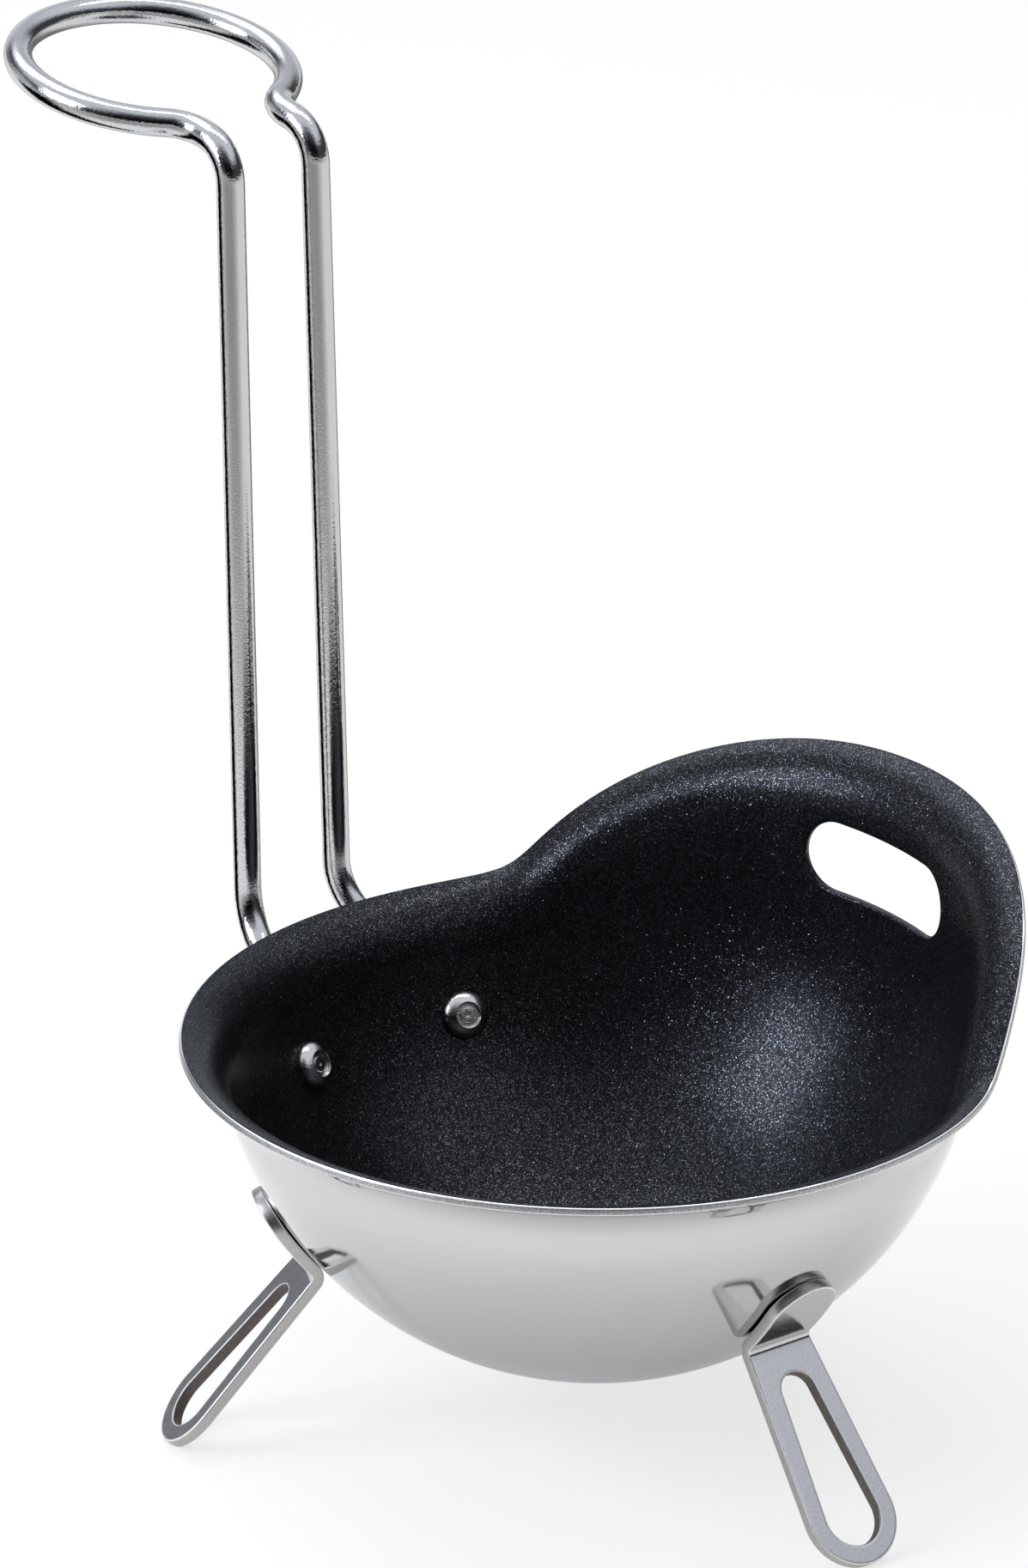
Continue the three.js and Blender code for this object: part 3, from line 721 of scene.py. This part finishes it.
# Legs
class Strap:
    """A leg's strap: a tab curved along the bowl, a bend and a straight foot, in an upright plane.

    Places on the flat strap are (along, across, proud), from the tab's end and from its middle."""

    def __init__(self):
        half = LEG_THICKNESS / 2
        self.middle = np.array([0.0, CENTRE_HEIGHT])
        self.tab_radius = BOWL_RADIUS + TAB_SEAT + half
        self.bend_radius = LEG_BEND + half
        self.foot_way = np.array([math.sin(LEG_LEAN), -math.cos(LEG_LEAN)])
        self.foot_out = np.array([math.cos(LEG_LEAN), math.sin(LEG_LEAN)])
        tab_out = np.array([math.cos(TAB_DROP), -math.sin(TAB_DROP)])
        tab_way = np.array([-math.sin(TAB_DROP), -math.cos(TAB_DROP)])
        corner = self.middle + tab_out * (self.tab_radius + SEAT - TAB_SEAT) + tab_way * TAB_FALL
        foot_end = corner + self.foot_way * (
            (corner[1] + FOOT_TRIM - half * math.sin(LEG_LEAN)) / math.cos(LEG_LEAN)
        )
        beside = corner + self.foot_out * self.bend_radius - self.middle
        reach = np.dot(beside, self.foot_way)
        far = (self.tab_radius + self.bend_radius) ** 2 - np.dot(beside, beside) + reach ** 2
        self.bend_centre = self.middle + beside + self.foot_way * (math.sqrt(far) - reach)
        towards = self.bend_centre - self.middle
        self.tab_start = TAB_DROP - TAB_RISE / self.tab_radius
        self.bend_drop = math.atan2(-towards[1], towards[0])
        self.bend_start = (self.bend_drop - self.tab_start) * self.tab_radius
        self.bend_end = self.bend_start + self.bend_radius * (self.bend_drop + LEG_LEAN)
        self.foot_start = self.bend_centre - self.foot_out * self.bend_radius
        self.end = self.bend_end + np.dot(foot_end - self.foot_start, self.foot_way)

    def place(self, along, across, proud):
        if along < self.bend_start:
            drop = self.tab_start + along / self.tab_radius
            out = np.array([math.cos(drop), -math.sin(drop)])
            point = self.middle + out * self.tab_radius
        elif along < self.bend_end:
            drop = self.bend_drop - (along - self.bend_start) / self.bend_radius
            out = np.array([math.cos(drop), -math.sin(drop)])
            point = self.bend_centre - out * self.bend_radius
        else:
            out = self.foot_out
            point = self.foot_start + self.foot_way * (along - self.bend_end)
        point = point + out * proud
        return np.array([point[0], across, max(point[1], 0.0)])


def strap_side(strap):
    """One side of the strap's outline, from the tab's tip to the foot's, and its step at the slot."""
    tab, foot = LEG_BEND_WIDTH / 2, LEG_FOOT_WIDTH / 2
    turns = np.linspace(0, math.pi / 2, TIP_STEPS)
    side = [(tab * (1 - math.cos(turn)), tab * math.sin(turn)) for turn in turns]
    for start, end, rows in ((tab, strap.bend_start, LEG_TAB_ROWS),
                             (strap.bend_start, strap.bend_end, LEG_BEND_ROWS)):
        side += [(along, tab) for along in np.linspace(start, end, rows + 1)[1:]]
    slot_step = len(side) + 1
    taper = np.linspace(0, 1, LEG_FOOT_ROWS + 1)[1:]
    long = strap.end - foot - strap.bend_end
    side += [(strap.bend_end + long * share, lerp(tab, foot, share)) for share in taper]
    side += [(strap.end - foot * (1 - math.sin(t)), foot * math.cos(t)) for t in turns[1:]]
    return np.array(side), slot_step


def strap_hole(strap, places):
    """The nearest points of the foot's slot, and the outward directions there."""
    start_radius = LEG_BEND_WIDTH / 2 - LEG_SLOT_BORDER
    end_radius = LEG_FOOT_WIDTH / 2 - LEG_SLOT_BORDER
    start = strap.bend_end + LEG_SLOT_START + start_radius
    end = strap.end - LEG_FOOT_WIDTH / 2
    middle = np.clip(places[:, 0], start, end)
    core = np.stack([middle, np.zeros(len(places))], -1)
    way = places - core
    way = way / np.linalg.norm(way, axis=1, keepdims=True)
    radius = lerp(start_radius, end_radius, (middle - start) / (end - start))
    return core + way * radius[:, None], way


class LegForm(Form):
    """A leg's points and faces, from places on the flat strap that are bent and swung round the bowl."""

    def __init__(self, strap, angle):
        super().__init__()
        self.strap = strap
        self.cosine, self.sine = math.cos(angle), math.sin(angle)

    def bent(self, places, proud):
        """Places at a height over the strap's middle, as points."""
        x, y, z = np.array([self.strap.place(along, across, proud) for along, across in places]).T
        swung = [x * self.cosine - y * self.sine, x * self.sine + y * self.cosine, z]
        return np.stack(swung, -1)

    def lay_tab(self, inset, rim, slot_step, proud):
        """Rows across a face, down to the slot. Returns the last one's places and numbers."""
        shares = np.linspace(0, 1, LEG_COLUMNS)[1:-1]
        rows = []
        for step in range(1, slot_step + 1):
            between = np.array([lerp(inset[step], inset[-step], share) for share in shares])
            rows.append([rim[step], *self.add(self.bent(between, proud)), rim[-step]])
        self.fan(rows[0], rim[0], closed=False)
        self.join_all(rows, closed=False)
        return between, rows[-1][1:-1]

    def lay_face(self, outline, outward, slot_step, proud):
        """A face. Returns its rim, its ring round the slot, and the slot's places and directions."""
        margin = LEG_EDGE + LEG_MARGIN
        inset = outline - outward * margin
        rim = self.add(self.bent(inset, proud))
        between, row = self.lay_tab(inset, rim, slot_step, proud)
        foot = slice(slot_step, len(outline) - slot_step + 1)
        ring = [*rim[foot], *row[::-1]]
        places = np.array([*inset[foot], *between[::-1]])
        hole, way = strap_hole(self.strap, places)
        for share in (0.5, 1.0):
            ring = self.extend(ring, self.bent(lerp(places, hole + way * margin, share), proud))
        return rim, ring, hole, way

    def round_edge(self, ring, places, outward, face, mark):
        """The rounded corner between a face and its edge. Returns the edge's ring."""
        for sine, cosine in quarter():
            proud = face * (LEG_THICKNESS / 2 - LEG_EDGE * (1 - cosine))
            corner = self.bent(places + outward * LEG_EDGE * (sine - 1), proud)
            ring = self.extend(ring, corner, mark * sine)
        return ring


def leg(name, angle, material):
    strap = Strap()
    side, slot_step = strap_side(strap)
    outline = np.array([*side, *(side[-2:0:-1] * np.array([1, -1]))])
    ahead = np.roll(outline, -1, axis=0) - np.roll(outline, 1, axis=0)
    outward = np.stack([-ahead[:, 1], ahead[:, 0]], -1)
    outward /= np.linalg.norm(outward, axis=1, keepdims=True)
    form = LegForm(strap, angle)
    rims, slots = [], []
    for face in (1, -1):
        proud = face * LEG_THICKNESS / 2
        rim, ring, hole, way = form.lay_face(outline, outward, slot_step, proud)
        rims.append(form.round_edge(rim, outline, outward, face, 1.0))
        slots.append(form.round_edge(ring, hole, -way, face, 2.0))
    form.join(*rims)
    form.join(*slots)
    return form.build("strap_" + name, material, name, "leg_steel")


# Materials
class Nodes:
    """Shorthand for the nodes of one tree."""

    def __init__(self, tree):
        self.tree = tree

    def node(self, kind, links=None, **settings):
        made = self.tree.nodes.new(kind)
        for key, value in settings.items():
            setattr(made, key, value)
        for key, value in (links or {}).items():
            self.feed(made.inputs[key], value)
        return made

    def feed(self, socket, value):
        if isinstance(value, bpy.types.NodeSocket):
            self.tree.links.new(value, socket)
        else:
            socket.default_value = value

    def math(self, operation, first, second=0.0):
        return self.node("ShaderNodeMath", {0: first, 1: second}, operation=operation).outputs[0]

    def add(self, first, second):
        return self.math("ADD", first, second)

    def times(self, first, second):
        return self.math("MULTIPLY", first, second)

    def vector(self, operation, *values, **named):
        links = {**dict(enumerate(values)), **named}
        return self.node("ShaderNodeVectorMath", links, operation=operation).outputs[0]

    def measure(self, operation, first, second):
        """A number made from two vectors."""
        links = {0: first, 1: second}
        return self.node("ShaderNodeVectorMath", links, operation=operation).outputs["Value"]

    def span(self, value, low, high, start, end):
        links = {0: value, 1: low, 2: high, 3: start, 4: end}
        return self.node("ShaderNodeMapRange", links).outputs[0]

    def mix(self, share, first, second):
        return self.node("ShaderNodeMix", {0: share, 2: first, 3: second}).outputs[0]

    def blend(self, share, first, second):
        """A mix of two colours."""
        made = self.node("ShaderNodeMix", data_type="RGBA")
        for key, value in ((0, share), (6, first), (7, second)):
            self.feed(made.inputs[key], value)
        return made.outputs[2]


class Paint(Nodes):
    """A procedural material."""

    def __init__(self, name):
        self.material = bpy.data.materials.new(name)
        self.material.use_nodes = True
        super().__init__(self.material.node_tree)
        self.shader = self.tree.nodes["Principled BSDF"]

    def set(self, **values):
        for key, value in values.items():
            self.feed(self.shader.inputs[key.replace("_", " ")], value)
        return self.material

    def places(self, scale=(1, 1, 1), turn=(0, 0, 0)):
        coordinates = self.node("ShaderNodeTexCoord").outputs["Object"]
        links = {"Vector": coordinates, "Scale": scale, "Rotation": turn}
        return self.node("ShaderNodeMapping", links).outputs[0]

    def noise(self, places, scale, detail=2.0, roughness=0.5):
        links = {"Vector": places, "Scale": scale, "Detail": detail, "Roughness": roughness}
        return self.node("ShaderNodeTexNoise", links).outputs["Fac"]

    def mark(self):
        return self.node("ShaderNodeAttribute", attribute_name="mark").outputs["Fac"]

    def draw(self, number, spread):
        """Another number from 0 to 1, drawn from one that is the same all over a fleck."""
        return self.math("FRACT", self.times(number, spread))

    def bump(self, height, strength, distance, normal=None):
        links = {"Height": height, "Strength": strength, "Distance": distance}
        if normal is not None:
            links["Normal"] = normal
        return self.node("ShaderNodeBump", links).outputs[0]


def bowl_steel():
    """Polished outside, and sanded where the sheet is cut, between burnished corners. The sanded band is
    darkened as painted shade of its grain, and the corners are lightened to near white as a painted
    highlight.
    """
    paint = Paint("polished_steel")
    streaks = paint.noise(paint.places((60, 60, 5200)), 1.0, 3.0)
    clouds = paint.noise(paint.places(), 70.0, 3.0)
    grain = paint.noise(paint.places(), 6500.0, 2.0)
    cut = paint.mark()
    polish = paint.add(
        paint.span(streaks, 0.3, 0.7, 0.05, 0.08), paint.span(clouds, 0.3, 0.7, 0.0, 0.02)
    )
    worn = paint.span(grain, 0.35, 0.65, 0.0, 1.0)
    # the sanded band's grain, darkened below the polished steel's colour as painted shade of the grain's
    # micro-shadows
    sanded_grain_and_shade = paint.blend(worn, (0.34, 0.34, 0.34, 1), (0.72, 0.72, 0.72, 1))
    sawn = paint.span(cut, 0.8, 1.0, 0.0, 1.0)
    # corner: the middle of each rounded corner of the cut edge, lightened to near white below, a painted
    # highlight line on the burnished steel
    corner = paint.times(paint.times(cut, 4.0), paint.math("SUBTRACT", 1.0, cut))
    lines = paint.bump(streaks, 0.02, 0.0002)
    return paint.set(
        Base_Color=paint.blend(
            corner, paint.blend(sawn, (0.605, 0.602, 0.604, 1), sanded_grain_and_shade), (0.95, 0.95, 0.95, 1)
        ),
        Metallic=1.0,
        Roughness=paint.add(polish, paint.times(sawn, 0.38)),
        Normal=paint.bump(paint.times(grain, sawn), 0.25, 0.0001, lines),
    )


def coating():
    """Satin black with fine metallic flecks, each leaning its own way."""
    paint = Paint("fleck_black")
    places = paint.places()
    drift = paint.node("ShaderNodeTexNoise", {"Vector": places, "Scale": 900.0}).outputs["Color"]
    drift = paint.vector("SCALE", drift, Scale=0.0007)
    spread = paint.vector("ADD", paint.places(turn=(0.7, 0.4, 0.3)), drift)
    flecks = paint.node("ShaderNodeTexVoronoi", {"Vector": spread, "Scale": FLECK_SCALE})
    chance = paint.node("ShaderNodeSeparateColor", {0: flecks.outputs["Color"]})
    picked = paint.math("LESS_THAN", chance.outputs[0], FLECK_SHARE)
    close = paint.span(flecks.outputs["Distance"], 0.35, 0.5, 1.0, 0.0)
    fleck = paint.times(picked, close)
    tilt = paint.vector("SUBTRACT", flecks.outputs["Color"], (FLECK_SHARE / 2, 0.5, 0.5))
    upset = paint.math("POWER", paint.draw(chance.outputs[1], 37.0), 2.0)
    lean = paint.vector("SCALE", tilt, Scale=paint.times(fleck, paint.times(upset, FLECK_TILT)))
    orange_peel = paint.bump(paint.noise(places, 2600.0, 2.0), 0.1, 0.0001)
    clouds = paint.noise(places, 90.0, 3.0)
    smudge = paint.span(clouds, 0.3, 0.7, 0.0, 1.0)
    black = paint.blend(smudge, (0.0038, 0.0044, 0.0050, 1), (0.0056, 0.0064, 0.0074, 1))
    bright = paint.math("POWER", paint.draw(chance.outputs[0], 31.0), 3.0)
    silver = paint.blend(bright, (0.040, 0.042, 0.050, 1), (0.33, 0.345, 0.40, 1))
    satin = paint.span(clouds, 0.3, 0.7, 0.28, 0.32)
    return paint.set(
        Base_Color=paint.blend(fleck, black, silver),
        Metallic=fleck,
        Roughness=paint.math("SUBTRACT", satin, paint.times(fleck, 0.06)),
        IOR=1.24,
        Specular_Tint=(0.92, 0.96, 1.0, 1),
        Normal=paint.vector("NORMALIZE", paint.vector("ADD", orange_peel, lean)),
    )


def wire_steel():
    paint = Paint("bright_wire")
    places = paint.places()
    grain = paint.noise(places, 3400.0, 3.0)
    clouds = paint.noise(places, 60.0, 2.0)
    return paint.set(
        Base_Color=paint.blend(clouds, (0.56, 0.56, 0.57, 1), (0.62, 0.62, 0.63, 1)),
        Metallic=1.0,
        Roughness=paint.span(clouds, 0.3, 0.7, 0.08, 0.12),
        Normal=paint.bump(grain, 0.3, 0.0001),
    )


def rivet_steel():
    """Polished, and rougher at the end of the stem."""
    paint = Paint("rivet_steel")
    places = paint.places()
    grain = paint.noise(places, 4200.0, 3.0)
    clouds = paint.noise(places, 500.0, 3.0)
    polish = paint.span(clouds, 0.3, 0.7, 0.06, 0.12)
    return paint.set(
        Base_Color=paint.blend(clouds, (0.60, 0.59, 0.58, 1), (0.70, 0.69, 0.68, 1)),
        Metallic=1.0,
        Roughness=paint.add(polish, paint.times(paint.mark(), 0.1)),
        Normal=paint.bump(grain, 0.15, 0.0002),
    )


def leg_steel():
    """Satin faces, burnished corners lightened to near white as a painted highlight, sheared edges, and
    darker metal inside the punched slot.
    """
    paint = Paint("satin_strap")
    places = paint.places()
    grain = paint.noise(places, 2600.0, 3.0)
    specks = paint.noise(places, 900.0, 4.0, 0.7)
    mark = paint.mark()
    edge = paint.span(mark, 0.0, 1.0, 0.0, 1.0)
    punched = paint.span(mark, 1.0, 1.9, 0.0, 1.0)
    face = paint.blend(specks, (0.56, 0.553, 0.565, 1), (0.62, 0.613, 0.625, 1))
    # a darker colour inside the punched slot
    darker_slot_metal = paint.blend(grain, (0.12, 0.10, 0.09, 1), (0.28, 0.25, 0.23, 1))
    sheared = paint.blend(grain, (0.40, 0.39, 0.38, 1), (0.56, 0.55, 0.53, 1))
    # corner: the middle of each rounded corner, lightened to near white below, a painted highlight line
    # on the burnished steel
    corner = paint.times(paint.times(edge, 4.0), paint.math("SUBTRACT", 1.0, edge))
    outside = paint.blend(corner, paint.blend(edge, face, sheared), (0.92, 0.92, 0.93, 1))
    satin = paint.add(paint.span(specks, 0.3, 0.7, 0.10, 0.15), paint.times(edge, 0.2))
    worn = paint.add(paint.times(corner, 0.35), paint.times(punched, 0.3))
    return paint.set(
        Base_Color=paint.blend(punched, outside, darker_slot_metal),
        Metallic=1.0,
        Roughness=paint.add(satin, worn),
        Normal=paint.bump(grain, 0.06, 0.0002),
    )


# Stage
def direction(azimuth, elevation):
    """A direction from the object, by its angle to the right of the camera and above the table."""
    turn = VIEW_AZIMUTH + azimuth
    return np.array([
        math.sin(turn) * math.cos(elevation),
        -math.cos(turn) * math.cos(elevation),
        math.sin(elevation),
    ])


def add_camera():
    data = bpy.data.cameras.new("camera")
    data.sensor_fit = "VERTICAL"
    data.sensor_width = data.sensor_height = 36.0
    data.lens = data.sensor_height * FOCAL_PIXELS / PHOTO_HEIGHT
    data.clip_start, data.clip_end = 0.05, 50.0
    camera = bpy.data.objects.new("camera", data)
    bpy.context.scene.collection.objects.link(camera)
    back = direction(0, VIEW_ELEVATION)
    right = direction(math.pi / 2, 0)
    up = np.cross(back, right)
    rolled_right = right * math.cos(VIEW_ROLL) + up * math.sin(VIEW_ROLL)
    rolled_up = up * math.cos(VIEW_ROLL) - right * math.sin(VIEW_ROLL)
    sideways = (VIEW_RIM_PIXEL[0] - PHOTO_WIDTH / 2) / FOCAL_PIXELS
    downwards = (VIEW_RIM_PIXEL[1] - PHOTO_HEIGHT / 2) / FOCAL_PIXELS
    rim = AXIS + np.array([0, 0, VIEW_RIM_HEIGHT])
    sight = unit(-back + rolled_right * sideways - rolled_up * downwards)
    place = (rim - sight * VIEW_DISTANCE) * MM
    turn = Matrix([rolled_right, rolled_up, back]).transposed().to_4x4()
    camera.matrix_world = Matrix.Translation(place) @ turn
    bpy.context.scene.camera = camera


def add_softbox(name, azimuth, elevation, distance, width, height, radiance, colour):
    """An oblong light that faces the object."""
    data = bpy.data.lights.new(name, "AREA")
    data.shape = "RECTANGLE"
    data.size, data.size_y = width, height
    data.energy = radiance * math.pi * width * height
    data.color = colour
    light = bpy.data.objects.new(name, data)
    bpy.context.scene.collection.objects.link(light)
    way = Vector(direction(azimuth * DEGREES, elevation * DEGREES))
    light.location = way * distance + Vector((0, 0, SOFTBOX_AIM))
    light.rotation_mode = "QUATERNION"
    light.rotation_quaternion = way.to_track_quat("Z", "Y")


def stage_material(name):
    """An empty material for the stage, and shorthand for its nodes."""
    material = bpy.data.materials.new(name)
    material.use_nodes = True
    material.node_tree.nodes.clear()
    return material, Nodes(material.node_tree)


def add_stage(name, corners, material):
    mesh = bpy.data.meshes.new(name)
    mesh.from_pydata([tuple(corner) for corner in corners], [], [tuple(range(len(corners)))])
    mesh.materials.append(material)
    piece = bpy.data.objects.new(name, mesh)
    bpy.context.scene.collection.objects.link(piece)
    return piece


def add_floor():
    """A pale floor that keeps the object's shadow. In reflections its glow is dimmed under the bowl, a
    painted shadow.
    """
    material, nodes = stage_material("pale_floor")
    path = nodes.node("ShaderNodeLightPath").outputs
    place = nodes.node("ShaderNodeTexCoord").outputs["Object"]
    # painted shadow: the glow seen in reflections is dimmed near the bowl's middle
    painted_shadow = nodes.span(nodes.measure("DISTANCE", place, AXIS * MM), *FLOOR_PAINTED_SHADOW)
    reflected = nodes.math("MAXIMUM", path["Is Glossy Ray"], path["Is Transmission Ray"])
    seen = nodes.math("MAXIMUM", path["Is Camera Ray"], nodes.times(reflected, painted_shadow))
    glow = nodes.node("ShaderNodeEmission", {"Strength": nodes.times(seen, FLOOR_GLOW)})
    matt = nodes.node("ShaderNodeBsdfDiffuse", {"Color": FLOOR_COLOUR})
    both = nodes.node("ShaderNodeAddShader", {0: matt.outputs[0], 1: glow.outputs[0]})
    nodes.node("ShaderNodeOutputMaterial", {"Surface": both.outputs[0]})
    signs = ((-1, -1), (1, -1), (1, 1), (-1, 1))
    corners = [(x * FLOOR_HALF_WIDTH, y * FLOOR_HALF_WIDTH, 0) for x, y in signs]
    add_stage("floor", corners, material)


def add_world():
    """White to the camera, plain for soft light, and in reflections a room with a dark horizon,
    a bright sky, light patches behind the object and a dark stretch round the camera."""
    world = bpy.data.worlds.new("studio")
    world.use_nodes = True
    bpy.context.scene.world = world
    nodes = Nodes(world.node_tree)
    path = nodes.node("ShaderNodeLightPath").outputs
    way = nodes.node("ShaderNodeTexCoord").outputs["Generated"]

    def sector(azimuth, elevation, *levels):
        """A level that changes with the angle from a direction, between two cosines."""
        towards = direction(azimuth * DEGREES, elevation * DEGREES)
        return nodes.span(nodes.measure("DOT_PRODUCT", way, towards), *levels)

    room = nodes.times(sector(0, 90, *ROOM_SKY), sector(0, ROOM_FRONT_ELEVATION, *ROOM_FRONT))
    for (azimuth, elevation), levels in ROOM_PATCHES.items():
        room = nodes.math("MAXIMUM", room, sector(azimuth, elevation, *levels))
    level = nodes.mix(path["Is Diffuse Ray"], room, ROOM_LIGHT)
    backdrop = world.node_tree.nodes["Background"]
    nodes.feed(backdrop.inputs["Color"], nodes.blend(path["Is Glossy Ray"], (1, 1, 1, 1), ROOM_TINT))
    nodes.feed(backdrop.inputs["Strength"], nodes.mix(path["Is Camera Ray"], level, 1.0))


def add_flag(name, middle, start, end, soft, near, far, near_level, far_level):
    """A flag on the table that only shows in reflections, between two azimuths and two distances from
    a middle. Its level changes with the distance, and along soft sides to about that of the floor."""
    material, nodes = stage_material(name)
    place = nodes.node("ShaderNodeTexCoord").outputs["Object"]
    reach = nodes.measure("DISTANCE", place, (0, 0, 0))
    level = nodes.span(reach, near, near + FLAG_FADE, near_level, far_level)
    if soft > 0:
        ahead = direction((start + end) / 2 * DEGREES, 0)
        facing = nodes.measure("DOT_PRODUCT", nodes.vector("NORMALIZE", place), ahead)
        half = (end - start) / 2
        side, inner = math.cos(half * DEGREES), math.cos((half - soft) * DEGREES)
        level = nodes.mix(nodes.span(facing, side, inner, 0.0, 1.0), FLAG_SIDE, level)
    glow = nodes.node("ShaderNodeEmission", {"Strength": level})
    nodes.node("ShaderNodeOutputMaterial", {"Surface": glow.outputs[0]})
    turns = np.linspace(start, end, FLAG_CORNERS) * DEGREES
    corners = [direction(turn, 0) * far for turn in turns]
    corners += [direction(turn, 0) * near for turn in turns[::-1]]
    flag = add_stage(name, corners, material)
    flag.location = (middle[0], middle[1], FLAG_HEIGHT)
    flag.visible_camera = flag.visible_diffuse = flag.visible_shadow = False


bowl_shell(bowl_steel())
nonstick_lining(coating())
handle_wire(wire_steel())
rivet_finish = rivet_steel()
rivet(-1, "left", rivet_finish)
rivet(1, "right", rivet_finish)
leg_finish = leg_steel()
for leg_name, leg_angle in LEGS.items():
    leg(leg_name, leg_angle, leg_finish)

add_camera()
for softbox_name, softbox in SOFTBOXES.items():
    add_softbox(softbox_name, *softbox)
handle_foot = (AXIS + np.array([0, RIM_RADIUS + HANDLE_STAND_OFF, 0])) * MM
for flag_name, flag in FLAGS.items():
    add_flag(flag_name, handle_foot, *flag)
add_floor()
add_world()
bpy.context.scene.view_settings.view_transform = "Standard"
